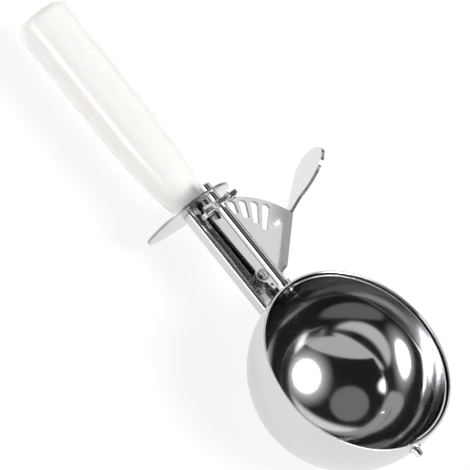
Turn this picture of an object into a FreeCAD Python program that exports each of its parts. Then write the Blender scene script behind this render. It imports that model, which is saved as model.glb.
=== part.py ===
"""Thumb-lever ice cream scoop: a bowl swept by a sprung scraper blade.

Row frame, millimetres: the origin is the centre of the bowl's sphere, +Z leaves
the bowl's mouth, the blade shaft lies along X and the handle points to -X. The
thumb lever stands on the +Y side.
"""
import FreeCAD
import Part
import Sketcher
import math
import os
import re

Vector = FreeCAD.Vector
Rotation = FreeCAD.Rotation

SIZES = {
    # Bowl: a hemisphere under a short straight wall.
    "bowl_radius": 38.0,
    "bowl_sheet": 0.7,
    "rim_height": 5.8,
    "rim_chamfer": 0.2,
    # Scraper blade: a band of sheet that follows the bowl's wall.
    "blade_gap": 0.3,
    "blade_sheet": 0.6,
    "blade_half_width": 4.8,
    # Shaft, its journals and the ends that are peened over the blade.
    "shaft_radius": 2.0,
    "stub_reach": 4.3,
    "stub_chamfer": 0.6,
    "running_gap": 0.08,
    "spigot_radius": 1.2,
    "spigot_gap": 0.04,
    "peen_radius": 2.2,
    "peen_height": 0.7,
    "bush_radius": 2.9,
    "bush_length": 2.2,
    # Pivot pin in the bowl's far wall.
    "pin_radius": 1.5,
    "pin_reach": 3.5,
    "pin_chamfer": 0.5,
    "washer_radius": 2.6,
    "washer_sheet": 0.7,
    # Pinion on the shaft.
    "pinion_place": 77.7,
    "pinion_width": 2.0,
    "pinion_teeth": 8.0,
    "pinion_root": 4.6,
    "pinion_tip": 8.0,
    "tooth_root_half": 0.95,
    "tooth_tip_half": 0.35,
    "tooth_lean": 0.25,
    "tooth_flank": 7.0,
    "press_grip": 0.02,
    # Thumb lever: sector plate, stiffening flange and thumb tab of one sheet.
    "lever_place": 48.0,
    "lever_top": 5.5,
    "lever_sheet": 1.2,
    "hub_radius": 3.3,
    "sector_radius": 33.4,
    "sector_low_angle": 5.0,
    "sector_high_angle": 57.0,
    "corner_back": 15.6,
    "corner_out": 29.6,
    "nose_ahead": 5.8,
    "nose_out": 5.4,
    "flange_height": 3.0,
    "flange_start": 0.15,
    # Sector windows that the pinion runs in.
    "window_pitch": 9.0,
    "window_half_angle": 3.0,
    "window_shoulder": 30.9,
    "window_inner": 26.5,
    "window_growth": 2.1,
    # Thumb tab, a curved leaf on the sector plate's corner.
    "tab_width": 19.4,
    "tab_height": 21.6,
    "tab_root": 2.2,
    "tab_bend": 100.0,
    # Rivet that the lever turns on, and its spacer.
    "rivet_radius": 1.3,
    "rivet_head_radius": 2.4,
    "rivet_head_height": 1.3,
    "rivet_tail_radius": 2.2,
    "rivet_tail_height": 0.8,
    "rivet_slack": 0.05,
    "spacer_radius": 3.0,
    # Channel that joins the bowl to the guard.
    "channel_half_width": 7.0,
    "channel_depth": 13.9,
    "channel_top": 8.4,
    "channel_sheet": 0.9,
    "channel_bend": 1.5,
    "lip_half_gap": 3.4,
    "lip_end": 50.0,
    "weld_gap": 0.05,
    # Tang of the handle, curled up inside the channel.
    "seat_gap": 0.3,
    "tang_sheet": 0.7,
    "tang_bend": 1.2,
    "tang_slot_half": 1.5,
    "tang_end": 46.8,
    "tang_floor_end": 43.5,
    "tang_tail": 150.0,
    # Return spring round the rivet.
    "wire_radius": 0.35,
    "coil_radius": 2.6,
    "coil_pitch": 1.16,
    "hook_ahead": 4.8,
    "hook_out": 0.6,
    "hook_reach": 0.6,
    "hook_bend": 0.9,
    "hook_hole_gap": 0.25,
    "leg_length": 12.0,
    "leg_gap": 0.25,
    # Guard plate between the channel and the handle.
    "guard_place": 83.0,
    "guard_sheet": 1.0,
    "guard_half_width": 17.0,
    "guard_ovality": 3.0,
    "guard_drop": 17.4,
    "guard_dish": 130.0,
    "guard_tilt": 4.0,
    "slot_gap": 0.1,
    # Moulded handle, an oval that narrows to its neck.
    "handle_drop": 12.6,
    "handle_half_width": 11.6,
    "handle_flattening": 1.0,
    "handle_length": 94.7,
    "handle_rounding": 4.5,
    "neck_share": 0.65,
    "neck_ease": 5.0,
    "neck_run": 13.0,
}

doc = FreeCAD.newDocument("scoop")
sheet = doc.addObject("Spreadsheet::Sheet", "Sizes")
for row, (alias, value) in enumerate(SIZES.items(), start=1):
    sheet.set("A%d" % row, alias)
    sheet.set("B%d" % row, str(value))
    sheet.setAlias("B%d" % row, alias)
doc.recompute()

ALIAS = re.compile(r"\b(%s)\b" % "|".join(SIZES))
X_AXIS = Vector(1, 0, 0)
Y_AXIS = Vector(0, 1, 0)
Z_AXIS = Vector(0, 0, 1)
TO_X = Rotation(Y_AXIS, 90)
# A sphere's seam is turned to where no face is kept.
SEAM_BACK = Rotation(Z_AXIS, 180)
SEAM_ASIDE = Rotation(Z_AXIS, -90)
pieces = []


def formula(text):
    """A size formula with each size's name pointed at its cell."""
    return ALIAS.sub(r"Sizes.\1", str(text))


def number(text):
    """The present value of a size formula."""
    value = sheet.evalExpression(formula(text))
    return float(getattr(value, "Value", value))


def bind(obj, **links):
    """Tie properties to size formulas; a double underscore stands for a dot."""
    for name, text in links.items():
        obj.setExpression(name.replace("__", "."), formula(text))
    return obj


def place(obj, x="0", y="0", z="0", turn=Rotation()):
    """Turn an object, then move it to a point given as size formulas."""
    obj.Placement = FreeCAD.Placement(Vector(number(x), number(y), number(z)), turn)
    return bind(obj, Placement__Base__x=x, Placement__Base__y=y, Placement__Base__z=z)


def piece(obj, label):
    """Name a finished sub-part; its label is also its file's name."""
    obj.Label = label
    pieces.append(obj)
    return obj


# Sketches and the features made from them


def new_body(label):
    return doc.addObject("PartDesign::Body", label + "_body")


def new_sketch(body, role, lift="0"):
    """A sketch on one of the body's origin planes, lifted along its normal."""
    plane = next(f for f in body.Origin.OriginFeatures if f.Role == role)
    sketch = body.newObject("Sketcher::SketchObject", body.Name + "_sketch")
    sketch.AttachmentSupport = [(plane, "")]
    sketch.MapMode = "FlatFace"
    return bind(sketch, AttachmentOffset__Base__z=lift)


def hold(sketch, text, kind, *where):
    """Add a dimension to a sketch and tie it to a size formula."""
    index = sketch.addConstraint(Sketcher.Constraint(kind, *where, number(text)))
    sketch.setExpression("Constraints[%d]" % index, formula(text))


def outline(sketch, corners, arcs=None):
    """Draw a closed outline through corners given as pairs of formulas.

    arcs bends the side that starts at a corner: it gives the arc's radius, and
    whether the arc's centre lies to the left of that side.
    """
    arcs = arcs or {}
    points = [Vector(number(x), number(y), 0) for x, y in corners]
    ends = []
    for i, start in enumerate(points):
        stop = points[(i + 1) % len(points)]
        if i not in arcs:
            ends.append((sketch.addGeometry(Part.LineSegment(start, stop)), 1, 2))
            continue
        radius, centre_left = arcs[i]
        side = stop - start
        half = side.Length / 2
        rise = math.sqrt(max(number(radius) ** 2 - half ** 2, 0))
        left = Vector(-side.y, side.x, 0).normalize()
        centre = start + side * 0.5 + left * (rise if centre_left else -rise)
        first, last = (start, stop) if centre_left else (stop, start)
        angles = [math.atan2(p.y - centre.y, p.x - centre.x) for p in (first, last)]
        circle = Part.Circle(centre, Z_AXIS, number(radius))
        arc = sketch.addGeometry(Part.ArcOfCircle(circle, *angles))
        hold(sketch, radius, "Radius", arc)
        ends.append((arc, 1, 2) if centre_left else (arc, 2, 1))
    for i, (side, first, _) in enumerate(ends):
        before, _, last = ends[i - 1]
        sketch.addConstraint(Sketcher.Constraint("Coincident", before, last, side, first))
        hold(sketch, corners[i][0], "DistanceX", side, first)
        hold(sketch, corners[i][1], "DistanceY", side, first)
    return sketch


def circle(sketch, radius, x="0", y="0"):
    """Draw a circle whose centre and radius are size formulas."""
    ring = sketch.addGeometry(Part.Circle(Vector(number(x), number(y), 0), Z_AXIS, number(radius)))
    hold(sketch, radius, "Radius", ring)
    hold(sketch, x, "DistanceX", ring, 3)
    hold(sketch, y, "DistanceY", ring, 3)
    return sketch


def rounded(corners, radii):
    """Round right-angled corners: give the new corners and their arcs.

    Sides run along the axes, and the outline goes round anticlockwise.
    """
    points = [(number(x), number(y)) for x, y in corners]
    new_corners, arcs = [], {}
    for i, (x, y) in enumerate(corners):
        if i not in radii:
            new_corners.append((x, y))
            continue
        (x0, y0), (x1, y1), (x2, y2) = (points[i - 1], points[i], points[(i + 1) % len(points)])
        into = (round(math.copysign(1, x1 - x0)) if x1 != x0 else 0,
                round(math.copysign(1, y1 - y0)) if y1 != y0 else 0)
        away = (round(math.copysign(1, x2 - x1)) if x2 != x1 else 0,
                round(math.copysign(1, y2 - y1)) if y2 != y1 else 0)
        arcs[len(new_corners)] = (radii[i], into[0] * away[1] - into[1] * away[0] > 0)
        new_corners.append(("%s - (%s) * %d" % (x, radii[i], into[0]),
                            "%s - (%s) * %d" % (y, radii[i], into[1])))
        new_corners.append(("%s + (%s) * %d" % (x, radii[i], away[0]),
                            "%s + (%s) * %d" % (y, radii[i], away[1])))
    return new_corners, arcs


def pad(body, sketch, length):
    feature = body.newObject("PartDesign::Pad", body.Name + "_pad")
    feature.Profile = sketch
    return bind(feature, Length=length)


def pocket(body, sketch, length, forward=False):
    """Cut against the sketch's normal, or along it where forward is set."""
    feature = body.newObject("PartDesign::Pocket", body.Name + "_pocket")
    feature.Profile = sketch
    feature.Reversed = forward
    return bind(feature, Length=length)


def revolve(body, sketch, axis):
    feature = body.newObject("PartDesign::Revolution", body.Name + "_revolution")
    feature.Profile = sketch
    feature.ReferenceAxis = (sketch, [axis])
    feature.Angle = 360
    return feature


def turned_on_x(label, corners, arcs=None):
    """A piece turned about X from corners given as position and radius."""
    body = new_body(label)
    revolve(body, outline(new_sketch(body, "XY_Plane"), corners, arcs), "H_Axis")
    return piece(body, label)


def turned_on_z(label, corners, arcs=None):
    """A piece turned about the lever's pivot from radius and height."""
    body = new_body(label)
    revolve(body, outline(new_sketch(body, "XZ_Plane"), corners, arcs), "V_Axis")
    return piece(place(body, x="-lever_place"), label)


# Plain solids and what is made of them


def solid(kind, label, **links):
    return bind(doc.addObject("Part::" + kind, label), **links)


def joined(kind, label, first, second):
    """Fuse, Cut or Common of two solids."""
    result = doc.addObject("Part::" + kind, label)
    result.Base = first
    result.Tool = second
    return result


def bar_along_x(label, radius, start, length):
    bar = solid("Cylinder", label, Radius=radius, Height=length)
    return place(bar, x=start, turn=TO_X)


def block(label, start, length, half_width, low, high):
    """A box from start along X, centred on Y, between two heights."""
    box = solid("Box", label, Length=length, Width="2 * (%s)" % half_width,
                Height="(%s) - (%s)" % (high, low))
    return place(box, x=start, y="-(%s)" % half_width, z=low)


def edges_where(shape, test):
    return [i for i, edge in enumerate(shape.Edges, start=1) if test(edge)]


# Bowl: spun sheet, bored for the shaft and for the far pin.
bowl_inner = "(bowl_radius - bowl_sheet)"
bowl_body = new_body("bowl")
wall = outline(
    new_sketch(bowl_body, "XZ_Plane"),
    [("0", "-bowl_radius"), ("bowl_radius", "0"), ("bowl_radius", "rim_height"),
     (bowl_inner, "rim_height"), (bowl_inner, "0"), ("0", "-" + bowl_inner)],
    {0: ("bowl_radius", True), 4: (bowl_inner, False)},
)
revolve(bowl_body, wall, "V_Axis")
shaft_bore = circle(new_sketch(bowl_body, "YZ_Plane"), "shaft_radius + running_gap")
pocket(bowl_body, shaft_bore, "bowl_radius + 1")
pin_bore = circle(new_sketch(bowl_body, "YZ_Plane"), "pin_radius + running_gap")
bored = pocket(bowl_body, pin_bore, "bowl_radius + 1", forward=True)
doc.recompute()
rim = bowl_body.newObject("PartDesign::Chamfer", "rim_bevel")
rim_edges = edges_where(
    bored.Shape,
    lambda e: all(abs(v.Z - number("rim_height")) < 1e-6 for v in e.Vertexes),
)
rim.Base = (bored, ["Edge%d" % i for i in rim_edges])
bind(rim, Size="min(rim_chamfer; 0.4 * bowl_sheet)")
piece(bowl_body, "bowl")

# Scraper blade: half a ring cut from a sphere, with a round lug at each pole.
blade_outer = "(bowl_radius - bowl_sheet - blade_gap)"
blade_inner = "(bowl_radius - bowl_sheet - blade_gap - blade_sheet)"
blade_shell = joined(
    "Cut", "blade_shell",
    solid("Sphere", "blade_outside", Radius=blade_outer),
    solid("Sphere", "blade_inside", Radius=blade_inner),
)
place(blade_shell, turn=SEAM_ASIDE)
blade_slab = solid("Box", "blade_slab", Length="2 * bowl_radius", Width="bowl_radius",
                   Height="2 * blade_half_width")
place(blade_slab, x="-bowl_radius", z="-blade_half_width")
lugs = bar_along_x("blade_lugs", "blade_half_width", "-bowl_radius", "2 * bowl_radius")
band = joined("Common", "blade_band", blade_shell, joined("Fuse", "blade_form", blade_slab, lugs))
blade_holes = bar_along_x("blade_holes", "spigot_radius + spigot_gap", "-bowl_radius",
                          "2 * bowl_radius")
piece(joined("Cut", "scraper_blade_solid", band, blade_holes), "scraper_blade")

# Blade shaft: one rod from the chamfered stub to the end peened in the bowl.
seat = "sqrt(%s^2 - peen_radius^2)" % blade_inner
stub = "-(guard_place + stub_reach)"
turned_on_x("blade_shaft", [
    (stub, "0"),
    (stub, "shaft_radius - stub_chamfer"),
    (stub + " + stub_chamfer", "shaft_radius"),
    ("-" + blade_outer, "shaft_radius"),
    ("-" + blade_outer, "spigot_radius"),
    ("-" + seat, "spigot_radius"),
    ("-" + seat, "peen_radius"),
    ("-%s + 0.3 * peen_height" % seat, "peen_radius"),
    ("-%s + peen_height" % seat, "0.5 * peen_radius"),
    ("-%s + peen_height" % seat, "0"),
])

# Far pivot pin: peened into the blade, turning in the bowl's wall.
pin_tip = "bowl_radius + pin_reach"
turned_on_x("far_pivot_pin", [
    (seat + " - peen_height", "0"),
    (seat + " - peen_height", "0.5 * peen_radius"),
    (seat + " - 0.3 * peen_height", "peen_radius"),
    (seat, "peen_radius"),
    (seat, "spigot_radius"),
    (blade_outer, "spigot_radius"),
    (blade_outer, "pin_radius"),
    (pin_tip + " - pin_chamfer", "pin_radius"),
    (pin_tip, "pin_radius - pin_chamfer"),
    (pin_tip, "0"),
])


def ring_on_x(label, start, length, bore, radius):
    return turned_on_x(label, [(start, bore), (start, radius),
                               ("%s + %s" % (start, length), radius),
                               ("%s + %s" % (start, length), bore)])


# Washer and bush: the rings on the outside of the bowl at its two bores.
ring_on_x("pivot_washer", "bowl_radius", "washer_sheet",
          "pin_radius + running_gap", "washer_radius")
ring_on_x("shaft_bush", "-(bowl_radius + bush_length)", "bush_length",
          "shaft_radius + running_gap", "bush_radius")

# Pinion: a star wheel with clawed teeth, pressed on the shaft.
pinion_back = "-(pinion_place + pinion_width / 2)"
pinion_body = new_body("pinion")
disc = circle(new_sketch(pinion_body, "YZ_Plane", pinion_back), "pinion_root")
circle(disc, "shaft_radius - press_grip")
pad(pinion_body, disc, "pinion_width")
tooth_foot = "-0.85 * pinion_root"
tooth_sketch = outline(
    new_sketch(pinion_body, "YZ_Plane", pinion_back),
    [("-tooth_root_half", tooth_foot),
     ("tooth_lean - tooth_tip_half", "-pinion_tip"),
     ("tooth_lean + tooth_tip_half", "-0.985 * pinion_tip"),
     ("tooth_root_half", tooth_foot)],
    {0: ("tooth_flank", True), 2: ("tooth_flank", True)},
)
tooth = pad(pinion_body, tooth_sketch, "pinion_width")
doc.recompute()
teeth = pinion_body.newObject("PartDesign::PolarPattern", "pinion_teeth_round")
teeth.Originals = [tooth]
x_line = next(f for f in pinion_body.Origin.OriginFeatures if f.Role == "X_Axis")
teeth.Axis = (x_line, [""])
teeth.Angle = 360
bind(teeth, Occurrences="pinion_teeth")
pinion_body.Tip = teeth
piece(pinion_body, "pinion")

# Thumb lever: sector plate with windows, hub, flange and thumb tab.
lever_body = new_body("lever")
lever_floor = "-(lever_top + lever_sheet)"
edge_run = "(corner_back + nose_ahead)"
edge_rise = "(corner_out - nose_out)"
edge_length = "sqrt(%s^2 + %s^2)" % (edge_run, edge_rise)
corner = ("-(lever_place + corner_back)", "corner_out")
nose = ("-(lever_place - nose_ahead)", "nose_out")


def from_pivot(radius, angle):
    """A point at an angle from -X towards +Y about the lever's pivot."""
    return ("-lever_place - (%s) * cos((%s) * 1deg)" % (radius, angle),
            "(%s) * sin((%s) * 1deg)" % (radius, angle))


sector = outline(
    new_sketch(lever_body, "XY_Plane", lever_floor),
    [("-lever_place", "-0.5 * hub_radius"),
     ("-(lever_place - nose_ahead - 1)", "-0.1 * hub_radius"),
     nose, corner,
     from_pivot("sector_radius", "sector_high_angle"),
     from_pivot("sector_radius", "-sector_low_angle")],
    {4: ("sector_radius", True)},
)
pad(lever_body, sector, "lever_sheet")
hub = circle(new_sketch(lever_body, "XY_Plane", lever_floor), "hub_radius", "-lever_place")
pad(lever_body, hub, "lever_sheet")

inset = ("-lever_sheet * %s / %s" % (edge_rise, edge_length),
         "-lever_sheet * %s / %s" % (edge_run, edge_length))
flange_foot = ("%s - flange_start * %s" % (nose[0], edge_run),
               "%s + flange_start * %s" % (nose[1], edge_rise))
flange = outline(
    new_sketch(lever_body, "XY_Plane", lever_floor),
    [flange_foot, corner,
     ("%s + %s" % (corner[0], inset[0]), "%s + %s" % (corner[1], inset[1])),
     ("%s + %s" % (flange_foot[0], inset[0]), "%s + %s" % (flange_foot[1], inset[1]))],
)
pad(lever_body, flange, "lever_sheet + flange_height")

through = "lever_top + lever_sheet + 1"
for step in range(6):
    middle = "%d * window_pitch" % step
    inner = "window_inner - window_growth * %d" % max(step - 2, 0)
    window = outline(
        new_sketch(lever_body, "XY_Plane"),
        [from_pivot(inner, middle + " - window_half_angle"),
         from_pivot(inner, middle + " + window_half_angle"),
         from_pivot("window_shoulder", middle + " + window_half_angle"),
         from_pivot("window_shoulder", middle + " - window_half_angle")],
        {2: ("1.05 * window_shoulder * sin(window_half_angle * 1deg)", True)},
    )
    pocket(lever_body, window, through)
rivet_hole = circle(new_sketch(lever_body, "XY_Plane"), "rivet_radius + running_gap", "-lever_place")
pocket(lever_body, rivet_hole, through)
hook_hole = circle(new_sketch(lever_body, "XY_Plane"), "wire_radius + hook_hole_gap",
                   "-(lever_place - hook_ahead)", "hook_out")
pocket(lever_body, hook_hole, through)

# The tab stands on the corner in the flange's plane: across is X, up is Y, and
# the sheet curls towards +Z, away from the hand.
tab_body = new_body("tab")
leaf = outline(
    new_sketch(tab_body, "XY_Plane", "-2 * lever_sheet"),
    [("-tab_root", "-0.5 * lever_sheet"), ("0", "-0.5 * lever_sheet"),
     ("0.76 * tab_width", "0.15 * tab_height"), ("0.99 * tab_width", "0.45 * tab_height"),
     ("0.93 * tab_width", "0.87 * tab_height"), ("0.68 * tab_width", "tab_height"),
     ("0.42 * tab_width", "0.93 * tab_height"), ("0.05 * tab_width", "0.42 * tab_height"),
     ("-tab_root", "flange_height")],
    {2: ("0.48 * tab_width", True), 3: ("0.63 * tab_width", True),
     4: ("0.27 * tab_width", True), 5: ("0.32 * tab_width", True),
     6: ("0.84 * tab_width", True)},
)
pad(tab_body, leaf, "2 * lever_sheet + 0.5 * tab_height")
tab_curl = joined(
    "Cut", "tab_curl",
    bar_along_x("tab_curl_outside", "tab_bend + lever_sheet", "-tab_width", "3 * tab_width"),
    bar_along_x("tab_curl_inside", "tab_bend", "-tab_width", "3 * tab_width"),
)
place(tab_curl, z="tab_bend")
tab = joined("Common", "tab", tab_body, tab_curl)
across = Vector(-number(edge_run), number(edge_rise), 0).normalize()
tab_turn = Rotation(across, Z_AXIS, across.cross(Z_AXIS), "XYZ")
place(tab, x=corner[0], y=corner[1], z="-lever_top", turn=tab_turn)
piece(joined("Fuse", "thumb_lever_solid", lever_body, tab), "thumb_lever")

# Rivet and spacer that the lever turns on.
head_low = "rivet_slack - lever_top"
head_dome = "((rivet_head_radius^2 + (0.7 * rivet_head_height)^2) / (1.4 * rivet_head_height))"
turned_on_z("lever_rivet", [
    ("0", "-(channel_depth + rivet_tail_height)"),
    ("0.6 * rivet_tail_radius", "-(channel_depth + rivet_tail_height)"),
    ("rivet_tail_radius", "-(channel_depth + 0.4 * rivet_tail_height)"),
    ("rivet_tail_radius", "-channel_depth"),
    ("rivet_radius", "-channel_depth"),
    ("rivet_radius", head_low),
    ("rivet_head_radius", head_low),
    ("rivet_head_radius", head_low + " + 0.3 * rivet_head_height"),
    ("0", head_low + " + rivet_head_height"),
], {7: (head_dome, True)})
tang_top = "-(channel_top + channel_sheet)"
spacer_top = lever_floor + " - rivet_slack"
turned_on_z("lever_spacer", [
    ("rivet_radius + rivet_slack", tang_top), ("spacer_radius", tang_top),
    ("spacer_radius", spacer_top), ("rivet_radius + rivet_slack", spacer_top),
])


def folded_profile(half_width, low, high, gauge, bend, half_gap):
    """Section of a strip folded into a C that is open along its top."""
    w, t, g = half_width, gauge, half_gap
    corners = [
        ("-(%s)" % w, low), (w, low), (w, high), (g, high),
        (g, "%s - %s" % (high, t)), ("%s - %s" % (w, t), "%s - %s" % (high, t)),
        ("%s - %s" % (w, t), "%s + %s" % (low, t)), ("-(%s - %s)" % (w, t), "%s + %s" % (low, t)),
        ("-(%s - %s)" % (w, t), "%s - %s" % (high, t)), ("-(%s)" % g, "%s - %s" % (high, t)),
        ("-(%s)" % g, high), ("-(%s)" % w, high),
    ]
    inside = "%s - %s" % (bend, t)
    radii = {0: bend, 1: bend, 2: bend, 11: bend, 5: inside, 6: inside, 7: inside, 8: inside}
    return rounded(corners, radii)


# The guard's dished faces are two spheres about one centre; the channel ends
# on the front one and the handle on the back one.
dish_x = "-guard_place - guard_dish * cos(guard_tilt * 1deg)"
dish_z = "guard_dish * sin(guard_tilt * 1deg) - guard_drop"
front_dish = place(solid("Sphere", "front_dish", Radius="guard_dish + weld_gap"),
                   x=dish_x, z=dish_z, turn=SEAM_BACK)
back_dish = place(solid("Sphere", "back_dish", Radius="guard_dish - guard_sheet - weld_gap"),
                  x=dish_x, z=dish_z, turn=SEAM_BACK)

# Channel: folded strip welded to the bowl, with lips that taper away.
channel_start = "-(guard_place + guard_sheet)"
channel_body = new_body("channel")
channel_section = outline(
    new_sketch(channel_body, "YZ_Plane", channel_start),
    *folded_profile("channel_half_width", "-channel_depth", "-channel_top", "channel_sheet",
                    "channel_bend", "lip_half_gap"),
)
pad(channel_body, channel_section, "guard_place + guard_sheet - 0.7 * bowl_radius")
clear_half = "(channel_half_width - channel_bend)"
lip_cut = outline(
    new_sketch(channel_body, "XY_Plane", "1 - channel_top"),
    [(channel_start + " - 1", "-lip_half_gap"), ("-lip_end", "-" + clear_half),
     ("-0.5 * bowl_radius", "-" + clear_half), ("-0.5 * bowl_radius", clear_half),
     ("-lip_end", clear_half), (channel_start + " - 1", "lip_half_gap")],
)
pocket(channel_body, lip_cut, "channel_sheet + 1")
channel_hole = circle(new_sketch(channel_body, "XY_Plane"), "rivet_radius + rivet_slack",
                      "-lever_place")
pocket(channel_body, channel_hole, "channel_depth + 1")
bowl_outside = solid("Sphere", "bowl_outside", Radius="bowl_radius + weld_gap")
welded = joined("Cut", "channel_at_bowl", channel_body, bowl_outside)
piece(joined("Cut", "shank_channel_solid", welded, front_dish), "shank_channel")

# Tang: a second folded strip that seats in the channel and runs back through
# the guard into the handle; its curled sides end in round tongues.
tang_half = "(channel_half_width - channel_sheet - seat_gap)"
tang_low = "-(channel_depth - channel_sheet)"
tang_body = new_body("tang")
tang_section = outline(
    new_sketch(tang_body, "YZ_Plane", "-tang_tail"),
    *folded_profile(tang_half, tang_low, tang_top, "tang_sheet", "tang_bend",
                    "tang_slot_half"),
)
pad(tang_body, tang_section, "tang_tail - tang_floor_end")
tongue_radius = "((%s - tang_slot_half) / 2)" % tang_half
tongue_middle = "((%s + tang_slot_half) / 2)" % tang_half
tongue_start = "-tang_end - " + tongue_radius
tang_clear = "(%s + 1)" % tang_half
tongue_cut = outline(
    new_sketch(tang_body, "XY_Plane", tang_top + " + 1"),
    [("-tang_floor_end + 1", "-" + tang_clear), ("-tang_floor_end + 1", tang_clear),
     (tongue_start, tang_clear), (tongue_start, tang_half), ("-tang_end", tongue_middle),
     (tongue_start, "tang_slot_half"), (tongue_start, "-tang_slot_half"),
     ("-tang_end", "-" + tongue_middle), (tongue_start, "-" + tang_half),
     (tongue_start, "-" + tang_clear)],
    {3: (tongue_radius, False), 4: (tongue_radius, False),
     6: (tongue_radius, False), 7: (tongue_radius, False)},
)
pocket(tang_body, tongue_cut, "%s + 1 - (%s + tang_sheet)" % (tang_top, tang_low))
tang_hole = circle(new_sketch(tang_body, "XY_Plane"), "rivet_radius + rivet_slack",
                   "-lever_place")
pocket(tang_body, tang_hole, "channel_depth + 1")
piece(tang_body, "handle_tang")


# Return spring: one wire, from a leg in the tang to a hook in the lever.


def arc_by(start, apex, stop):
    """The arc that leaves start towards apex and reaches stop from it."""
    chord = (start + stop) * 0.5
    half = (stop - start).Length / 2
    height = (apex - chord).Length
    sagitta = half * (math.hypot(half, height) - half) / height
    middle = chord + (apex - chord) * (sagitta / height)
    return Part.Arc(start, middle, stop).toShape()


def biarc(start, start_way, stop, stop_way):
    """Two arcs that join two points and take up the direction at each."""
    span = stop - start
    forward = span.dot(start_way + stop_way)
    turn = 2 * (1 - start_way.dot(stop_way))
    reach = (math.sqrt(forward ** 2 + turn * span.dot(span)) - forward) / turn
    first = start + start_way * reach
    last = stop - stop_way * reach
    middle = (first + last) * 0.5
    return [arc_by(start, first, middle), arc_by(middle, last, stop)]


# The coil starts where its fixed leg reaches the tang's side wall, and ends,
# a full turn on, where its other leg points at the hook.
wire = number("wire_radius")
coil = number("coil_radius")
pitch = number("coil_pitch")
leg = number("leg_length")
leg_out = number("%s - tang_sheet - wire_radius - leg_gap" % tang_half)
hook = Vector(number("hook_ahead"), number("hook_out"), 0)
hook_run = math.sqrt(hook.Length ** 2 - coil ** 2)
start_angle = math.atan2(leg, coil) - math.pi + math.asin(leg_out / math.hypot(leg, coil))
end_angle = 2 * math.pi + math.atan2(hook.y, hook.x) - math.atan2(hook_run, coil)
coil_low = number("%s + tang_sheet + wire_radius + weld_gap" % tang_low)
pivot = Vector(-number("lever_place"), 0, 0)


def on_coil(share, slope):
    """Place and direction of the wire at a share of the coil's sweep."""
    angle = start_angle + share * (end_angle - start_angle)
    height = coil_low + pitch * (angle - start_angle) / (2 * math.pi)
    spot = pivot + Vector(coil * math.cos(angle), coil * math.sin(angle), height)
    way = Vector(-math.sin(angle), math.cos(angle), slope * pitch / (2 * math.pi * coil))
    return spot, way.normalize()


knots = [on_coil(i / 4, 0 if i in (0, 4) else 1) for i in range(5)]
coil_start, leg_way = knots[0]
coil_end, hook_way = knots[4]
hook_foot = pivot + hook + Vector(0, 0, coil_end.z)
bend = number("hook_bend")
bend_start = hook_foot - hook_way * bend
bend_end = hook_foot + Z_AXIS * bend
hook_tip = Vector(hook_foot.x, hook_foot.y, number("hook_reach - lever_top"))
leg_tip = coil_start - leg_way * leg
run = [Part.LineSegment(leg_tip, coil_start).toShape()]
for (spot, way), (next_spot, next_way) in zip(knots, knots[1:]):
    run += biarc(spot, way, next_spot, next_way)
run.append(Part.LineSegment(coil_end, bend_start).toShape())
run.append(arc_by(bend_start, hook_foot, bend_end))
run.append(Part.LineSegment(bend_end, hook_tip).toShape())
spine = Part.Wire(run)
tube = Part.BRepOffsetAPI.MakePipeShell(spine)
tube.add(Part.Wire([Part.Circle(leg_tip, leg_way, wire).toShape()]))
tube.build()
tube.makeSolid()
spring = doc.addObject("Part::Feature", "return_spring_wire")
spring.Shape = tube.shape()
spring.Placement = FreeCAD.Placement()
piece(spring, "return_spring")

# Least space between turns, over points more than half a turn apart.
dots = spine.discretize(Number=600)
apart = int(600 * math.pi * coil / spine.Length)
self_gap = min((dots[i] - dots[j]).Length for i in range(600) for j in range(i + apart, 600))
print("return_spring: least gap to itself %.2f mm" % (self_gap - 2 * wire))
print("return_spring: volume over section times length %.4f"
      % (spring.Shape.Volume / (math.pi * wire ** 2 * spine.Length)))

# Guard plate: a dished oval with a bore for the shaft and a slot for the tang.
guard_oval = place(
    solid("Ellipse", "guard_oval", MajorRadius="guard_half_width + guard_ovality",
          MinorRadius="guard_half_width"),
    x="guard_sheet", turn=Rotation(Y_AXIS, -90),
)
guard_prism = doc.addObject("Part::Extrusion", "guard_prism")
guard_prism.Base = guard_oval
guard_prism.DirMode = "Custom"
guard_prism.Dir = -X_AXIS
guard_prism.Solid = True
bind(guard_prism, LengthFwd="0.3 * guard_half_width + 3 * guard_sheet")
guard_shell = joined(
    "Cut", "guard_shell",
    solid("Sphere", "guard_outside", Radius="guard_dish"),
    solid("Sphere", "guard_inside", Radius="guard_dish - guard_sheet"),
)
place(guard_shell, x="-guard_dish", turn=SEAM_BACK)
guard_blank = joined("Common", "guard_blank", guard_shell, guard_prism)
place(guard_blank, x="-guard_place", z="-guard_drop",
      turn=Rotation(Y_AXIS, number("guard_tilt")))
guard_bore = bar_along_x("guard_bore", "shaft_radius + running_gap",
                         "-(guard_place + 10 * guard_sheet)", "20 * guard_sheet")
guard_slot = block("guard_slot", "-(guard_place + 10 * guard_sheet)", "20 * guard_sheet",
                   tang_half + " + slot_gap", tang_low + " - slot_gap", tang_top + " + slot_gap")
bored_guard = joined("Cut", "bored_guard", guard_blank, guard_bore)
piece(joined("Cut", "guard_plate_solid", bored_guard, guard_slot), "guard_plate")

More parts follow.
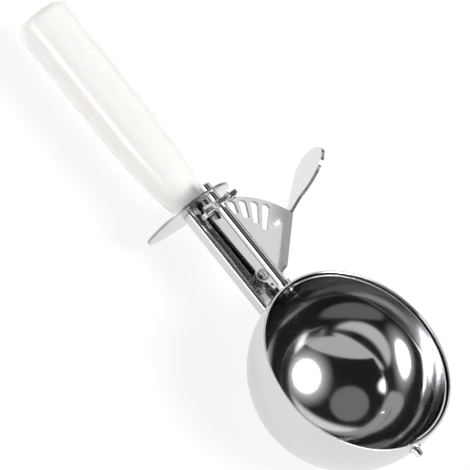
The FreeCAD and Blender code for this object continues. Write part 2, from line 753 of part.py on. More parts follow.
# Handle: ovals joined from the neck to the butt, bored for the tang. The neck
# swells fast at first and then settles into the palm's even width; the last
# ovals draw in for the rounding of the butt.
NECK_SHARES = (0, 0.05, 0.11, 0.18, 0.28, 0.42, 0.6, 0.78)
BUTT_ANGLES = (0, 30, 60, 90)
stations = [("handle_length * %s" % share, "0") for share in NECK_SHARES]
stations += [("(handle_length - handle_rounding * (1 - sin(%d * 1deg)))" % angle,
              "handle_rounding * (1 - cos(%d * 1deg))" % angle) for angle in BUTT_ANGLES]
sections = []
for start, drawn_in in stations:
    share = ("(1 - (1 - neck_share) * exp((neck_ease - sqrt((%s)^2 + neck_ease^2)) / neck_run))"
             % start)
    oval = solid("Ellipse", "handle_oval",
                 MajorRadius="%s * handle_half_width - %s" % (share, drawn_in),
                 MinorRadius="%s * (handle_half_width - handle_flattening) - %s"
                             % (share, drawn_in))
    place(oval, x="-(guard_place + %s)" % start, z="-handle_drop",
          turn=Rotation(Vector(1, 1, 1), 120))
    sections.append(oval)
grip = doc.addObject("Part::Loft", "grip")
grip.Sections = sections
grip.Solid = True
grip.Ruled = True
seated_grip = joined("Common", "seated_grip", grip, back_dish)
tang_socket = block("tang_socket", "-(tang_tail + slot_gap)", "tang_tail",
                    tang_half + " + slot_gap", tang_low + " - slot_gap", tang_top + " + slot_gap")
piece(joined("Cut", "handle_solid", seated_grip, tang_socket), "handle")

# Every feature has to stand, and every piece has to be one sound solid.
doc.recompute()
broken = [o.Name for o in doc.Objects if {"Invalid", "Error"} & set(o.State)]
if broken:
    raise RuntimeError("failed features: " + ", ".join(broken))
for obj in pieces:
    shape = obj.Shape
    if shape.isNull() or not shape.isValid() or len(shape.Solids) != 1:
        raise RuntimeError("unsound piece: " + obj.Label)
    box = shape.BoundBox
    print("%-15s %9.1f mm3  x %.2f %.2f  y %.2f %.2f  z %.2f %.2f" % (
        obj.Label, shape.Volume, box.XMin, box.XMax, box.YMin, box.YMax, box.ZMin, box.ZMax))
os.makedirs("parts", exist_ok=True)
for obj in pieces:
    obj.Shape.exportStep(os.path.join("parts", obj.Label + ".step"))
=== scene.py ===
"""Lever ice cream scoop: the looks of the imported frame, from the bowl to the handle,
and the studio that it is photographed in. Metres, in the frame's own axes.
"""

import math

import bmesh
import bpy
from mathutils import Matrix, Vector


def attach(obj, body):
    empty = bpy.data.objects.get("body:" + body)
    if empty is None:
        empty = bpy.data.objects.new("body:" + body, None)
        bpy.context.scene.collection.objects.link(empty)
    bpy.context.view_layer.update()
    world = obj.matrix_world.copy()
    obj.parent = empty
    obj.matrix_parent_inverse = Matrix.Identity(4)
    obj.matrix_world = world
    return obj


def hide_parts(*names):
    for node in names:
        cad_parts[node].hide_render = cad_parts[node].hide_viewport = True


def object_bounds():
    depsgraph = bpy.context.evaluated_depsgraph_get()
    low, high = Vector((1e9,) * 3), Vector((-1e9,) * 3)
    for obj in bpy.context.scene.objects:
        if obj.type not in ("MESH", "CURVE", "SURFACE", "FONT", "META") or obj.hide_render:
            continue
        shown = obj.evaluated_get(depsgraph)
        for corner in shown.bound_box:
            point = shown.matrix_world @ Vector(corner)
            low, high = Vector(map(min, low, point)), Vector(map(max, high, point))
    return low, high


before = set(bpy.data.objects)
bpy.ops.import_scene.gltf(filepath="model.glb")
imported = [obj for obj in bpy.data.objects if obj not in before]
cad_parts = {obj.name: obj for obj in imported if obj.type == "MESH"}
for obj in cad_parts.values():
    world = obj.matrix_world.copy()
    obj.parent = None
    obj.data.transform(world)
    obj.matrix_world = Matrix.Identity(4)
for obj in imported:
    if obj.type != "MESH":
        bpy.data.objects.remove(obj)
cad_box = [list(corner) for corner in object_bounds()]
bpy.ops.object.select_all(action="DESELECT")

# Bowl: stainless sheet spun to a hemisphere under a short straight wall. The inside
# is polished to a mirror, the outside is left fine satin, and the rim is eased.
BOWL_RADIUS = 0.038
BOWL_SHEET = 0.0007
BOWL_SIDES = 192
RIM_HEIGHT = 0.0058
RIM_EASE = 0.0002
SHAFT_BORE = 0.00208
PIN_BORE = 0.00158
DRILL_START = 0.03
DRILL_END = 0.045
SHEET_COLOUR = (0.70, 0.70, 0.71)
INSIDE_ROUGHNESS = 0.05
OUTSIDE_ROUGHNESS = 0.22
MERGE_GAP = 0.000001
SMOOTH_BELOW = 35


def node(tree, kind, inputs=None, **settings):
    """Add a shader node; inputs are values or other nodes' sockets, by name or number."""
    made = tree.nodes.new("ShaderNode" + kind)
    for name, value in settings.items():
        setattr(made, name, value)
    for key, value in (inputs or {}).items():
        if isinstance(value, bpy.types.NodeSocket):
            tree.links.new(value, made.inputs[key])
        else:
            made.inputs[key].default_value = value
    return made


def maths(tree, operation, *values):
    return node(tree, "Math", dict(enumerate(values)), operation=operation).outputs[0]


def measure(tree, operation, *vectors):
    """The length of a vector, or the dot product of two."""
    return node(tree, "VectorMath", dict(enumerate(vectors)),
                operation=operation).outputs["Value"]


def new_group(name, inputs, outputs):
    """An empty node group, with what comes in and what goes out of it."""
    group = bpy.data.node_groups.new(name, "ShaderNodeTree")
    for way, sockets in (("INPUT", inputs), ("OUTPUT", outputs)):
        for socket, kind in sockets.items():
            group.interface.new_socket(socket, in_out=way, socket_type="NodeSocket" + kind)
    return (group, group.nodes.new("NodeGroupInput").outputs,
            group.nodes.new("NodeGroupOutput").inputs)


# Lines that a tool leaves: noise read along a stretched direction.
tool_lines, given, result = new_group(
    "tool_lines", {"Vector": "Vector", "Scale": "Float"}, {"Lines": "Float"})
grain = node(tool_lines, "TexNoise", {"Vector": given["Vector"], "Scale": given["Scale"],
                                      "Detail": 3.0, "Roughness": 0.6})
spread = node(tool_lines, "MapRange", {"Value": grain.outputs["Fac"], "From Min": 0.3,
                                       "From Max": 0.7})
tool_lines.links.new(spread.outputs[0], result["Lines"])

# Hairline scratches from washing up, gathered in patches, and finger smudges. Both
# patches and smudges are larger than the scratches, by these shares of their scale.
PATCH_SCALE = 0.23
SMUDGE_SCALE = 0.4
handling, given, result = new_group(
    "handling", {"Vector": "Vector", "Scale": "Float", "Width": "Float"},
    {"Scratches": "Float", "Smudges": "Float"})
path = node(handling, "TexNoise", {"Vector": given["Vector"], "Scale": given["Scale"],
                                   "Detail": 1.0})
off_line = maths(handling, "ABSOLUTE", maths(handling, "SUBTRACT", path.outputs["Fac"], 0.5))
hairline = node(handling, "MapRange", {"Value": off_line, "From Max": given["Width"],
                                       "To Min": 1.0, "To Max": 0.0})
patch = node(handling, "TexNoise", {
    "Vector": given["Vector"], "Scale": maths(handling, "MULTIPLY", given["Scale"], PATCH_SCALE),
    "Detail": 2.0})
patches = node(handling, "MapRange", {"Value": patch.outputs["Fac"], "From Min": 0.5,
                                      "From Max": 0.62})
scratches = maths(handling, "MULTIPLY", hairline.outputs[0], patches.outputs[0])
handling.links.new(scratches, result["Scratches"])
smudge = node(handling, "TexNoise", {
    "Vector": given["Vector"], "Scale": maths(handling, "MULTIPLY", given["Scale"], SMUDGE_SCALE),
    "Detail": 4.0, "Roughness": 0.55})
smudges = node(handling, "MapRange", {"Value": smudge.outputs["Fac"], "From Min": 0.42,
                                      "From Max": 0.72})
handling.links.new(smudges.outputs[0], result["Smudges"])


def marks(tree, along, place, line_scale, wear_scale, wear_width):
    """Both sets of marks in a material: lines, scratches and smudges."""
    lines = node(tree, "Group", {"Vector": along, "Scale": line_scale}, node_tree=tool_lines)
    wear = node(tree, "Group", {"Vector": place, "Scale": wear_scale, "Width": wear_width},
                node_tree=handling)
    return lines.outputs["Lines"], wear.outputs["Scratches"], wear.outputs["Smudges"]


def new_finish(name):
    """A material, with its node tree, its shader and the place on the piece."""
    material = bpy.data.materials.new(name)
    material.use_nodes = True
    tree = material.node_tree
    place = node(tree, "TexCoord").outputs["Object"]
    return material, tree, tree.nodes["Principled BSDF"], place


def metal(name, colour):
    """A bare steel of one colour."""
    material, tree, shader, place = new_finish(name)
    shader.inputs["Metallic"].default_value = 1.0
    shader.inputs["Base Color"].default_value = (*colour, 1)
    return material, tree, shader, place


# What scratches and smudges add to a steel's roughness.
SCRATCH_DULLING = 0.12
SMUDGE_DULLING = 0.05


def finish_metal(tree, shader, along, place, line_scale, wear_scale, wear_width,
                 roughness, spread, relief):
    """Give a steel its marks, as roughness, which is a value or a socket, and relief."""
    lines, scratches, smudges = marks(tree, along, place, line_scale, wear_scale, wear_width)
    rough = maths(tree, "MULTIPLY_ADD", lines, spread, roughness)
    rough = maths(tree, "MULTIPLY_ADD", scratches, SCRATCH_DULLING, rough)
    rough = maths(tree, "MULTIPLY_ADD", smudges, SMUDGE_DULLING, rough)
    tree.links.new(rough, shader.inputs["Roughness"])
    height = maths(tree, "SUBTRACT", lines, scratches)
    bump = node(tree, "Bump", {"Height": height, "Strength": 1.0, "Distance": relief})
    tree.links.new(bump.outputs["Normal"], shader.inputs["Normal"])


spun_steel, tree, shader, place = metal("spun_steel", SHEET_COLOUR)
apart = node(tree, "SeparateXYZ", {0: place}).outputs
flat = node(tree, "CombineXYZ", {0: apart["X"], 1: apart["Y"]}).outputs[0]
radial = measure(tree, "LENGTH", flat)
rings = node(tree, "CombineXYZ", {0: radial, 2: apart["Z"]}).outputs[0]
below = node(tree, "CombineXYZ", {0: radial,
                                  2: maths(tree, "MINIMUM", apart["Z"], 0.0)}).outputs[0]
outside = maths(tree, "GREATER_THAN", measure(tree, "LENGTH", below),
                BOWL_RADIUS - BOWL_SHEET / 2)
polish = node(tree, "MapRange", {"Value": outside, "To Min": INSIDE_ROUGHNESS,
                                 "To Max": OUTSIDE_ROUGHNESS}).outputs[0]
finish_metal(tree, shader, rings, place, line_scale=1000.0, wear_scale=90.0,
             wear_width=0.004, roughness=polish, spread=0.04, relief=0.0000012)


def apply_modifier(piece, kind, **settings):
    modifier = piece.modifiers.new(kind.lower(), kind)
    for name, value in settings.items():
        setattr(modifier, name, value)
    bpy.context.view_layer.objects.active = piece
    bpy.ops.object.modifier_apply(modifier=modifier.name)


def ease_edges(piece, width, segments, sharper_than, **settings):
    """Round the edges that turn by more than an angle in degrees."""
    apply_modifier(piece, "BEVEL", width=width, segments=segments, limit_method="ANGLE",
                   angle_limit=math.radians(sharper_than), **settings)


def select_where(piece, test):
    """In edit mode, select only the vertices whose place passes the test."""
    bpy.ops.mesh.select_all(action="DESELECT")
    mesh = bmesh.from_edit_mesh(piece.data)
    for vertex in mesh.verts:
        vertex.select_set(test(vertex.co))
    mesh.select_flush(True)
    bmesh.update_edit_mesh(piece.data)


def rod_along_x(radius, start, stop, sides=48):
    bpy.ops.mesh.primitive_cylinder_add(
        vertices=sides, radius=radius, depth=stop - start,
        location=((start + stop) / 2, 0, 0), rotation=(0, math.pi / 2, 0))
    bpy.ops.object.transform_apply(location=True, rotation=True)
    return bpy.context.object


def cut(piece, tool, operation="DIFFERENCE"):
    """Cut a piece with a tool, or keep what is inside it, and drop the tool."""
    apply_modifier(piece, "BOOLEAN", operation=operation, object=tool, solver="EXACT")
    bpy.data.objects.remove(tool, do_unlink=True)


def finished(piece, name, material):
    """Name a piece, smooth its gentle edges and give it its finish."""
    piece.name = name
    bpy.ops.object.select_all(action="DESELECT")
    piece.select_set(True)
    bpy.context.view_layer.objects.active = piece
    bpy.ops.object.shade_smooth_by_angle(angle=math.radians(SMOOTH_BELOW))
    piece.data.materials.clear()
    piece.data.materials.append(material)
    piece.select_set(False)
    return piece


# The sphere's poles lie on the shaft's axis, under the blade's lugs.
bpy.ops.mesh.primitive_uv_sphere_add(segments=BOWL_SIDES, ring_count=BOWL_SIDES // 2,
                                     radius=BOWL_RADIUS, rotation=(0, math.pi / 2, 0))
bpy.ops.object.transform_apply(rotation=True)
bowl = bpy.context.object
bpy.ops.object.mode_set(mode="EDIT")
bpy.ops.mesh.select_all(action="SELECT")
bpy.ops.mesh.bisect(plane_co=(0, 0, 0), plane_no=(0, 0, 1), clear_outer=True,
                    threshold=MERGE_GAP)
bpy.ops.mesh.select_all(action="SELECT")
bpy.ops.mesh.remove_doubles(threshold=MERGE_GAP)
select_where(bowl, lambda co: abs(co.z) < MERGE_GAP)
bpy.ops.mesh.extrude_region_move(TRANSFORM_OT_translate={"value": (0, 0, RIM_HEIGHT)})
bpy.ops.mesh.select_all(action="SELECT")
bpy.ops.mesh.normals_make_consistent(inside=False)
bpy.ops.object.mode_set(mode="OBJECT")
apply_modifier(bowl, "SOLIDIFY", thickness=BOWL_SHEET, offset=-1)
ease_edges(bowl, RIM_EASE, segments=3, sharper_than=50)
cut(bowl, rod_along_x(SHAFT_BORE, -DRILL_END, -DRILL_START))
cut(bowl, rod_along_x(PIN_BORE, DRILL_START, DRILL_END))
finished(bowl, "spun_bowl", spun_steel)
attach(bowl, "frame")
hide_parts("bowl")

# Scraper blade: a band cut from a second, smaller spun shell, with a round lug at
# each end, that lies along the bowl's far wall until the lever is pressed.
BLADE_RADIUS = 0.037
BLADE_SHEET = 0.0006
BLADE_HALF_WIDTH = 0.0048
BLADE_BLANK = 0.0063
BLADE_EASE = 0.0001
SPIGOT_HOLE = 0.00124
PAST_BLADE = 0.04


def worked_steel(name, colour, stretch, **finish):
    """A steel whose lines run along the axes where stretch is small."""
    material, tree, shader, place = metal(name, colour)
    along = node(tree, "Mapping", {"Vector": place, "Scale": stretch}).outputs[0]
    finish_metal(tree, shader, along, place, **finish)
    return material


bpy.ops.mesh.primitive_uv_sphere_add(segments=256, ring_count=160, radius=BLADE_RADIUS)
blade = bpy.context.object
bpy.ops.object.mode_set(mode="EDIT")
for trimmed_off in ((0, 0, 1), (0, 0, -1), (0, -1, 0)):
    bpy.ops.mesh.select_all(action="SELECT")
    bpy.ops.mesh.bisect(plane_co=Vector(trimmed_off) * BLADE_BLANK, plane_no=trimmed_off,
                        clear_outer=True)
bpy.ops.object.mode_set(mode="OBJECT")
apply_modifier(blade, "SOLIDIFY", thickness=BLADE_SHEET, offset=-1)
keep = rod_along_x(BLADE_HALF_WIDTH, -PAST_BLADE, PAST_BLADE, sides=96)
bpy.ops.object.mode_set(mode="EDIT")
select_where(keep, lambda co: co.y > MERGE_GAP)
bpy.ops.transform.translate(value=(0, PAST_BLADE, 0))
bpy.ops.object.mode_set(mode="OBJECT")
cut(blade, keep, "INTERSECT")
cut(blade, rod_along_x(SPIGOT_HOLE, -PAST_BLADE, PAST_BLADE))
ease_edges(blade, BLADE_EASE, segments=2, sharper_than=60)
band_steel = worked_steel("band_steel", SHEET_COLOUR, stretch=(0.04, 0.04, 1),
                          line_scale=1300.0, wear_scale=120.0, wear_width=0.005,
                          roughness=0.09, spread=0.09, relief=0.000001)
finished(blade, "scraper_band", band_steel)
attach(blade, "blade")
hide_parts("scraper_blade")


# Shaft, far pin, and the rings on the bowl: bright turned bar, with the fine rings
# that the lathe leaves. The rivet and its spacer are turned about the other axis.
def dress(material, *names):
    """Give CAD nodes a finish of their own."""
    for name in names:
        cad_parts[name].material_slots[0].material = material


turned_steel = worked_steel("turned_steel", (0.76, 0.76, 0.77), stretch=(1, 0.02, 0.02),
                            line_scale=1600.0, wear_scale=150.0, wear_width=0.006,
                            roughness=0.08, spread=0.1, relief=0.0000006)
dress(turned_steel, "blade_shaft", "far_pivot_pin", "pivot_washer", "shaft_bush")

headed_steel = worked_steel("headed_steel", (0.72, 0.72, 0.73), stretch=(0.02, 0.02, 1),
                            line_scale=1600.0, wear_scale=180.0, wear_width=0.006,
                            roughness=0.12, spread=0.12, relief=0.0000006)
dress(headed_steel, "lever_rivet", "lever_spacer")

# Pinion and thumb lever: blanked and bent from sheet, then tumbled, which dulls the
# faces a little and rounds every edge.
EDGE_EASE = 0.00012
CAD_MERGE_GAP = 0.000002
FLAT_WITHIN = 0.3
LEVER_COLOUR = (0.76, 0.765, 0.775)
# Colour of the cut edges: painted shade, darker than the sheet's faces.
CUT_SHADE_COLOUR = (0.40, 0.40, 0.41)
EDGE_LEAN = 0.3


def softened(name):
    """A copy of a CAD node as one merged mesh, with its edges rounded."""
    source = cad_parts[name]
    piece = bpy.data.objects.new(name + "_softened", source.data.copy())
    bpy.context.collection.objects.link(piece)
    piece.select_set(True)
    bpy.context.view_layer.objects.active = piece
    bpy.ops.object.mode_set(mode="EDIT")
    bpy.ops.mesh.select_all(action="SELECT")
    bpy.ops.mesh.customdata_custom_splitnormals_clear()
    bpy.ops.mesh.remove_doubles(threshold=CAD_MERGE_GAP)
    bpy.ops.mesh.dissolve_limited(angle_limit=math.radians(FLAT_WITHIN))
    bpy.ops.object.mode_set(mode="OBJECT")
    ease_edges(piece, EDGE_EASE, segments=2, sharper_than=28, use_clamp_overlap=False,
               miter_outer="MITER_ARC")
    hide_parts(name)
    return piece


tumbled_steel = worked_steel("tumbled_steel", (0.72, 0.725, 0.735), stretch=(1, 0.35, 1),
                             line_scale=1500.0, wear_scale=110.0, wear_width=0.006,
                             roughness=0.22, spread=0.03, relief=0.0000006)

# The cut edges of the sheet are rougher than its faces, with the marks of the punch,
# and are painted darker, as shade along the edges.
sheared_edge_shade = worked_steel("sheared_edge_shade", CUT_SHADE_COLOUR, stretch=(1, 1, 1),
                            line_scale=1500.0, wear_scale=250.0, wear_width=0.006,
                            roughness=0.24, spread=0.16, relief=0.000001)


def shade_cut_edges(piece, test):
    """Give the cut edge's finish, with its painted shade, to the faces that pass the test."""
    piece.data.materials.append(sheared_edge_shade)
    for face in piece.data.polygons:
        face.material_index = int(test(face))


pinion = finished(softened("pinion"), "pinion_wheel", tumbled_steel)
# The pinion's cut edges are painted darker, as shade.
shade_cut_edges(pinion, lambda face: abs(face.normal.x) < EDGE_LEAN)
apply_modifier(pinion, "WEIGHTED_NORMAL", keep_sharp=True)
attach(pinion, "blade")

# The lever keeps its own mesh, whose curl is too fine to round, and its finish finds
# the upright walls of the sector's windows and rim, and the tab's edges, by itself, and paints
# them darker as shade.
LEVER_MIDDLE = -0.0061
LEVER_HALF_SHEET = 0.00061
THUMB_TAB_FACING = (0.75, 0.66, 0)
TAB_EDGE_LEAN = 0.5
TAB_ABOVE_SHEET = 0.0002


def between(tree, share, first, second):
    """A mix of two colours."""
    return node(tree, "Mix", {0: share, 6: (*first, 1), 7: (*second, 1)},
                data_type="RGBA").outputs[2]


pressed_steel = worked_steel("pressed_steel", LEVER_COLOUR, stretch=(1, 0.35, 1),
                             line_scale=1500.0, wear_scale=110.0, wear_width=0.006,
                             roughness=0.15, spread=0.04, relief=0.0000006)
tree = pressed_steel.node_tree
here = node(tree, "TexCoord").outputs
level = node(tree, "SeparateXYZ", {0: here["Object"]}).outputs["Z"]
facing_up = node(tree, "SeparateXYZ", {0: here["Normal"]}).outputs["Z"]
in_sheet = maths(tree, "COMPARE", level, LEVER_MIDDLE, LEVER_HALF_SHEET)
upright = maths(tree, "LESS_THAN", maths(tree, "ABSOLUTE", facing_up), EDGE_LEAN)
on_tab = maths(tree, "GREATER_THAN", level, LEVER_MIDDLE + LEVER_HALF_SHEET + TAB_ABOVE_SHEET)
facing_thumb = maths(tree, "ABSOLUTE",
                     measure(tree, "DOT_PRODUCT", here["Normal"], THUMB_TAB_FACING))
sideways = maths(tree, "LESS_THAN", facing_thumb, TAB_EDGE_LEAN)
shaded_cut_wall = maths(tree, "MAXIMUM", maths(tree, "MULTIPLY", in_sheet, upright),
                 maths(tree, "MULTIPLY", on_tab, sideways))
# Painted shade: the cut walls take the darker cut-edge colour.
tree.links.new(between(tree, shaded_cut_wall, LEVER_COLOUR, CUT_SHADE_COLOUR),
               tree.nodes["Principled BSDF"].inputs["Base Color"])
dress(pressed_steel, "thumb_lever")

# Channel and tang: two strips folded lengthwise, one inside the other. The rolls
# that formed them have drawn long streaks from end to end.
drawn_steel = worked_steel("drawn_steel", (0.68, 0.685, 0.695), stretch=(0.015, 1, 1),
                           line_scale=900.0, wear_scale=120.0, wear_width=0.006,
                           roughness=0.14, spread=0.08, relief=0.0000015)
channel = finished(softened("shank_channel"), "folded_channel", drawn_steel)
apply_modifier(channel, "WEIGHTED_NORMAL", keep_sharp=True)
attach(channel, "frame")

# The inner strip is painted darker than the channel, as shade down in the channel, with coarser
# streaks.
shade_painted_steel = worked_steel("shade_painted_steel", (0.60, 0.605, 0.615), stretch=(0.012, 1, 1),
                            line_scale=700.0, wear_scale=120.0, wear_width=0.006,
                            roughness=0.14, spread=0.12, relief=0.000001)
tang = finished(softened("handle_tang"), "folded_tang", shade_painted_steel)
apply_modifier(tang, "WEIGHTED_NORMAL", keep_sharp=True)
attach(tang, "frame")

# Return spring: a coil of hard-drawn wire round the rivet, greyer than the sheet and
# dulled by the die.
wire_steel = worked_steel("wire_steel", (0.62, 0.62, 0.63), stretch=(1, 1, 1),
                          line_scale=1800.0, wear_scale=400.0, wear_width=0.01,
                          roughness=0.18, spread=0.12, relief=0.0000006)
dress(wire_steel, "return_spring")

# Guard: an oval plate between channel and handle, stamped from sheet and dished
# towards the handle. Its edge is rounded and shows the cut, painted darker as shade.
GUARD_DISH = 0.130
GUARD_SHEET = 0.001
GUARD_HALF_WIDTH = 0.017
GUARD_HALF_HEIGHT = 0.020
GUARD_BLANK = 0.023
GUARD_RINGS = 14
GUARD_EASE = 0.0003
GUARD_PLACE = Vector((-0.083, 0, -0.0174))
GUARD_TILT = math.radians(4)
GUARD_EDGE_LEAN = 0.6


def drawn_profile(points):
    """A chain of edges through points, drawn by extruding one vertex."""
    bpy.ops.mesh.primitive_plane_add(size=0.001)
    piece = bpy.context.object
    bpy.ops.object.mode_set(mode="EDIT")
    bpy.ops.mesh.merge(type="CENTER")
    bpy.ops.transform.translate(value=points[0])
    for start, stop in zip(points, points[1:]):
        bpy.ops.mesh.extrude_vertices_move(
            TRANSFORM_OT_translate={"value": Vector(stop) - Vector(start)})
    bpy.ops.mesh.select_all(action="SELECT")
    return piece


def spun_about_x(points, height, steps):
    """A profile turned right round a line along X, closed and facing outwards."""
    piece = drawn_profile(points)
    bpy.ops.mesh.spin(steps=steps, angle=2 * math.pi, center=(0, 0, height), axis=(1, 0, 0))
    bpy.ops.mesh.select_all(action="SELECT")
    bpy.ops.mesh.remove_doubles(threshold=MERGE_GAP)
    bpy.ops.mesh.normals_make_consistent(inside=False)
    bpy.ops.object.mode_set(mode="OBJECT")
    return piece


reaches = [GUARD_BLANK * step / GUARD_RINGS for step in range(GUARD_RINGS + 1)]
guard = spun_about_x([(math.sqrt(GUARD_DISH ** 2 - reach ** 2) - GUARD_DISH, 0, reach)
                      for reach in reaches], height=0, steps=160)
bpy.ops.object.mode_set(mode="EDIT")
bpy.ops.mesh.select_all(action="SELECT")
bpy.ops.mesh.extrude_region_move(TRANSFORM_OT_translate={"value": (-GUARD_SHEET, 0, 0)})
bpy.ops.mesh.select_all(action="SELECT")
bpy.ops.mesh.normals_make_consistent(inside=False)
bpy.ops.object.mode_set(mode="OBJECT")
oval = rod_along_x(1, -0.02, 0.02, sides=192)
bpy.ops.object.mode_set(mode="EDIT")
bpy.ops.mesh.select_all(action="SELECT")
bpy.ops.transform.resize(value=(1, GUARD_HALF_WIDTH, GUARD_HALF_HEIGHT),
                         center_override=(0, 0, 0))
bpy.ops.object.mode_set(mode="OBJECT")
cut(guard, oval, "INTERSECT")
guard.rotation_euler = (0, GUARD_TILT, 0)
guard.location = GUARD_PLACE
guard.select_set(True)
bpy.context.view_layer.objects.active = guard
bpy.ops.object.transform_apply(location=True, rotation=True)
ease_edges(guard, GUARD_EASE, segments=3, sharper_than=50)
cut(guard, rod_along_x(SHAFT_BORE, -0.1, -0.07))
finished(guard, "guard_oval", tumbled_steel)
# The guard's rim is painted darker, as shade.
shade_cut_edges(guard, lambda face: abs(face.normal.x) < GUARD_EDGE_LEAN)
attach(guard, "frame")
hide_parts("guard_plate")

# Handle: moulded round the tang in glossy warm white plastic. Its oval swells fast
# from the neck, stays even under the palm and is rounded at the butt.
HANDLE_LENGTH = 0.0947
HANDLE_DROP = 0.0126
HANDLE_HALF_WIDTH = 0.0116
HANDLE_HALF_HEIGHT = 0.0106
HANDLE_ROUNDING = 0.0045
NECK_SHARE = 0.65
NECK_EASE = 0.005
NECK_RUN = 0.013
NECK_START = 0.083
NECK_CUT = 0.0843
PALM_STEPS = 40
PALM_CROWDING = 1.4
BUTT_STEPS = 12
MOULDING_COLOURS = ((0.94, 0.932, 0.9), (0.955, 0.948, 0.92))
PARTING_WIDTH = 0.00012
MOULDING_RELIEF = 0.00002


def grip_radius(run):
    """Half width of the handle at a distance behind the guard's place."""
    swell = math.exp((NECK_EASE - math.hypot(run, NECK_EASE)) / NECK_RUN)
    return (1 - (1 - NECK_SHARE) * swell) * HANDLE_HALF_WIDTH


runs = [(HANDLE_LENGTH - HANDLE_ROUNDING) * (step / PALM_STEPS) ** PALM_CROWDING
        for step in range(PALM_STEPS + 1)]
grip_line = [(-NECK_START, 0, -HANDLE_DROP)]
grip_line += [(-NECK_START - run, 0, grip_radius(run) - HANDLE_DROP) for run in runs]
for step in range(1, BUTT_STEPS + 1):
    turn = math.radians(90 * step / BUTT_STEPS)
    run = HANDLE_LENGTH - HANDLE_ROUNDING * (1 - math.sin(turn))
    grip_line.append((-NECK_START - run, 0,
                      grip_radius(run) - HANDLE_ROUNDING * (1 - math.cos(turn)) - HANDLE_DROP))
grip_line.append((-NECK_START - HANDLE_LENGTH, 0, -HANDLE_DROP))
handle = spun_about_x(grip_line, height=-HANDLE_DROP, steps=128)
bpy.ops.object.mode_set(mode="EDIT")
bpy.ops.mesh.select_all(action="SELECT")
bpy.ops.transform.resize(value=(1, 1, HANDLE_HALF_HEIGHT / HANDLE_HALF_WIDTH),
                         center_override=(0, 0, -HANDLE_DROP))
bpy.ops.mesh.bisect(plane_co=(-NECK_CUT, 0, -HANDLE_DROP),
                    plane_no=(math.cos(GUARD_TILT), 0, -math.sin(GUARD_TILT)),
                    clear_outer=True, use_fill=True)
bpy.ops.object.mode_set(mode="OBJECT")

# The moulding is a little cloudy, with the fine line where the mould's halves met.
moulding, tree, shader, place = new_finish("white_moulding")
for socket, value in (("Coat Weight", 0.7), ("Coat Roughness", 0.06),
                      ("Subsurface Weight", 0.5), ("Subsurface Scale", 1.0),
                      ("Subsurface Radius", (0.006, 0.005, 0.0042))):
    shader.inputs[socket].default_value = value
along = node(tree, "Mapping", {"Vector": place, "Scale": (0.3, 1, 1)}).outputs[0]
lines, scratches, smudges = marks(tree, along, place, line_scale=160.0, wear_scale=70.0,
                                  wear_width=0.004)
tree.links.new(between(tree, lines, *MOULDING_COLOURS), shader.inputs["Base Color"])
handled = maths(tree, "MULTIPLY_ADD", smudges, 0.5, scratches)
rough = node(tree, "MapRange", {"Value": handled, "To Min": 0.22, "To Max": 0.36})
tree.links.new(rough.outputs[0], shader.inputs["Roughness"])
above_origin = node(tree, "SeparateXYZ", {0: place}).outputs["Z"]
off_parting = maths(tree, "ABSOLUTE", maths(tree, "ADD", above_origin, HANDLE_DROP))
parting = node(tree, "MapRange", {"Value": off_parting, "From Max": PARTING_WIDTH,
                                  "To Min": 1.0, "To Max": 0.0}).outputs[0]
relief = maths(tree, "MULTIPLY_ADD", lines, 0.15, parting)
bump = node(tree, "Bump", {"Height": relief, "Strength": 1.0, "Distance": MOULDING_RELIEF})
tree.links.new(bump.outputs["Normal"], shader.inputs["Normal"])
finished(handle, "moulded_handle", moulding)
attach(handle, "frame")
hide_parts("handle")

# Floor: a plain white sheet that the bowl stands on. It looks like white paper to
# the camera and in the steel, and keeps the scoop's shadow; from below it is clear.
FLOOR_SIZE = 6.0
FLOOR_GAP = 0.0002
PAPER_COLOUR = (0.86, 0.86, 0.86, 1)
PAPER_WHITE = 1.06
PAPER_GLOW = 0.8
bpy.ops.mesh.primitive_plane_add(size=FLOOR_SIZE)
floor = bpy.context.object
floor.name = "floor"
bpy.ops.object.mode_set(mode="EDIT")
bpy.ops.transform.translate(value=(0, 0, cad_box[0][2] - FLOOR_GAP))
bpy.ops.object.mode_set(mode="OBJECT")
floor_paper = bpy.data.materials.new("floor_paper")
floor_paper.use_nodes = True
tree = floor_paper.node_tree
tree.nodes.clear()
paper = node(tree, "BsdfDiffuse", {"Color": PAPER_COLOUR}).outputs[0]
white = node(tree, "Emission", {"Strength": PAPER_WHITE}).outputs[0]
ray = node(tree, "LightPath").outputs
looked_at = maths(tree, "MAXIMUM", maths(tree, "MAXIMUM", ray["Is Camera Ray"],
                                         ray["Is Glossy Ray"]), ray["Is Transmission Ray"])
glow = maths(tree, "MULTIPLY", looked_at, PAPER_GLOW)
top_side = node(tree, "MixShader", {0: glow, 1: paper, 2: white}).outputs[0]
clear = node(tree, "BsdfTransparent").outputs[0]
backfacing = node(tree, "NewGeometry").outputs["Backfacing"]
one_sided = node(tree, "MixShader", {0: backfacing, 1: top_side, 2: clear}).outputs[0]
node(tree, "OutputMaterial", {"Surface": one_sided})
floor.data.materials.append(floor_paper)

# Studio: a dim room with a white horizon, and soft panels overhead that the bowl
# mirrors. The camera itself sees plain white behind everything.
HORIZON_TOP = 0.30
HORIZON_FADE = 0.12
HORIZON_LEVEL = 0.9
ROOM_DIM = 0.02
PANELS = (
    # azimuth and elevation in degrees, half width, half height, soft edge, level
    (345, 8, 1.40, 0.22, 0.25, 4.2),     # low panel on the near side
    (50, 0, 1.40, 1.00, 0.03, 0.68),     # large side panel
    (111, 60, 0.44, 0.42, 0.60, 0.9),    # glow round the key window
    (111, 60, 0.22, 0.21, 0.60, 21.0),   # key window
    (205, 45, 1.30, 0.26, 0.25, 1.1),    # strip behind the handle
    (298, 64, 0.39, 0.37, 0.08, 0.25),   # dim ceiling panel
    (325, 24, 0.13, 0.13, 0.50, 3.0),    # small lamp
)

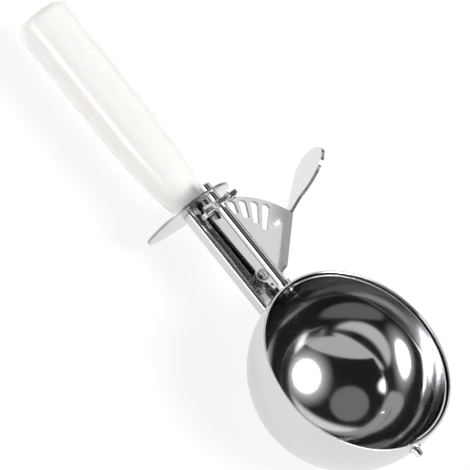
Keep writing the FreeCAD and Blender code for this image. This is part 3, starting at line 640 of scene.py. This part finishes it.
# Mask of an oval that faces the scoop from far away, by direction.
studio_panel, given, result = new_group(
    "studio_panel",
    {"Direction": "Vector", "Facing": "Vector", "Across": "Vector", "Upwards": "Vector",
     "Half Width": "Float", "Half Height": "Float", "Edge": "Float"}, {"Mask": "Float"})
reach = {name: measure(studio_panel, "DOT_PRODUCT", given["Direction"], given[name])
         for name in ("Facing", "Across", "Upwards")}
shares = [maths(studio_panel, "DIVIDE",
                maths(studio_panel, "DIVIDE", reach[name], reach["Facing"]), given[half])
          for name, half in (("Across", "Half Width"), ("Upwards", "Half Height"))]
from_centre = node(studio_panel, "CombineXYZ", {0: shares[0], 1: shares[1]}).outputs[0]
inside = node(studio_panel, "MapRange", {
    "Value": measure(studio_panel, "LENGTH", from_centre),
    "From Min": maths(studio_panel, "SUBTRACT", 1.0, given["Edge"]),
    "From Max": maths(studio_panel, "ADD", 1.0, given["Edge"]),
    "To Min": 1.0, "To Max": 0.0}, interpolation_type="SMOOTHSTEP").outputs[0]
in_front = maths(studio_panel, "GREATER_THAN", reach["Facing"], 0.0)
studio_panel.links.new(maths(studio_panel, "MULTIPLY", inside, in_front), result["Mask"])

studio = bpy.data.worlds.new("studio")
studio.use_nodes = True
bpy.context.scene.world = studio
tree = studio.node_tree
tree.nodes.clear()
direction = node(tree, "TexCoord").outputs["Generated"]
height = node(tree, "SeparateXYZ", {0: direction}).outputs["Z"]
light = node(tree, "MapRange", {"Value": height, "From Min": HORIZON_TOP - HORIZON_FADE,
                                "From Max": HORIZON_TOP, "To Min": HORIZON_LEVEL,
                                "To Max": ROOM_DIM},
             interpolation_type="SMOOTHSTEP").outputs[0]
for azimuth, elevation, half_width, half_height, edge, strength in PANELS:
    turn, lift = math.radians(azimuth), math.radians(elevation)
    facing = Vector((math.sin(turn) * math.cos(lift), -math.cos(turn) * math.cos(lift),
                     math.sin(lift)))
    across = Vector((math.cos(turn), math.sin(turn), 0))
    panel = node(tree, "Group", {"Direction": direction, "Facing": facing, "Across": across,
                                 "Upwards": facing.cross(across), "Half Width": half_width,
                                 "Half Height": half_height, "Edge": edge},
                 node_tree=studio_panel).outputs["Mask"]
    light = node(tree, "Mix", {0: panel, 2: light, 3: strength}).outputs[0]
ray = node(tree, "LightPath").outputs
seen = node(tree, "Mix", {0: ray["Is Camera Ray"], 2: light, 3: 1.0}).outputs[0]
background = node(tree, "Background", {"Strength": seen}).outputs[0]
node(tree, "OutputWorld", {"Surface": background})
bpy.context.scene.view_settings.view_transform = "Standard"

# Camera: a long lens from above the bowl's side, rolled as the photograph is, and far
# enough off that the scoop hardly tapers.
CAMERA_PLACE = Vector((0.45749, -1.89317, 2.17513))
CAMERA_RIGHT = Vector((0.6147, 0.6626, 0.4280)).normalized()
CAMERA_BACK = Vector((0.1784, -0.6453, 0.7428)).normalized()
CAMERA_LENS = 612.77
lens = bpy.data.cameras.new("camera")
lens.lens = CAMERA_LENS
lens.sensor_width = 36
lens.clip_start = 0.05
lens.clip_end = 30
camera = bpy.data.objects.new("camera", lens)
bpy.context.collection.objects.link(camera)
turned = Matrix((CAMERA_RIGHT, CAMERA_BACK.cross(CAMERA_RIGHT), CAMERA_BACK)).transposed()
camera.matrix_world = Matrix.Translation(CAMERA_PLACE) @ turned.to_4x4()
bpy.context.scene.camera = camera

bpy.context.view_layer.update()
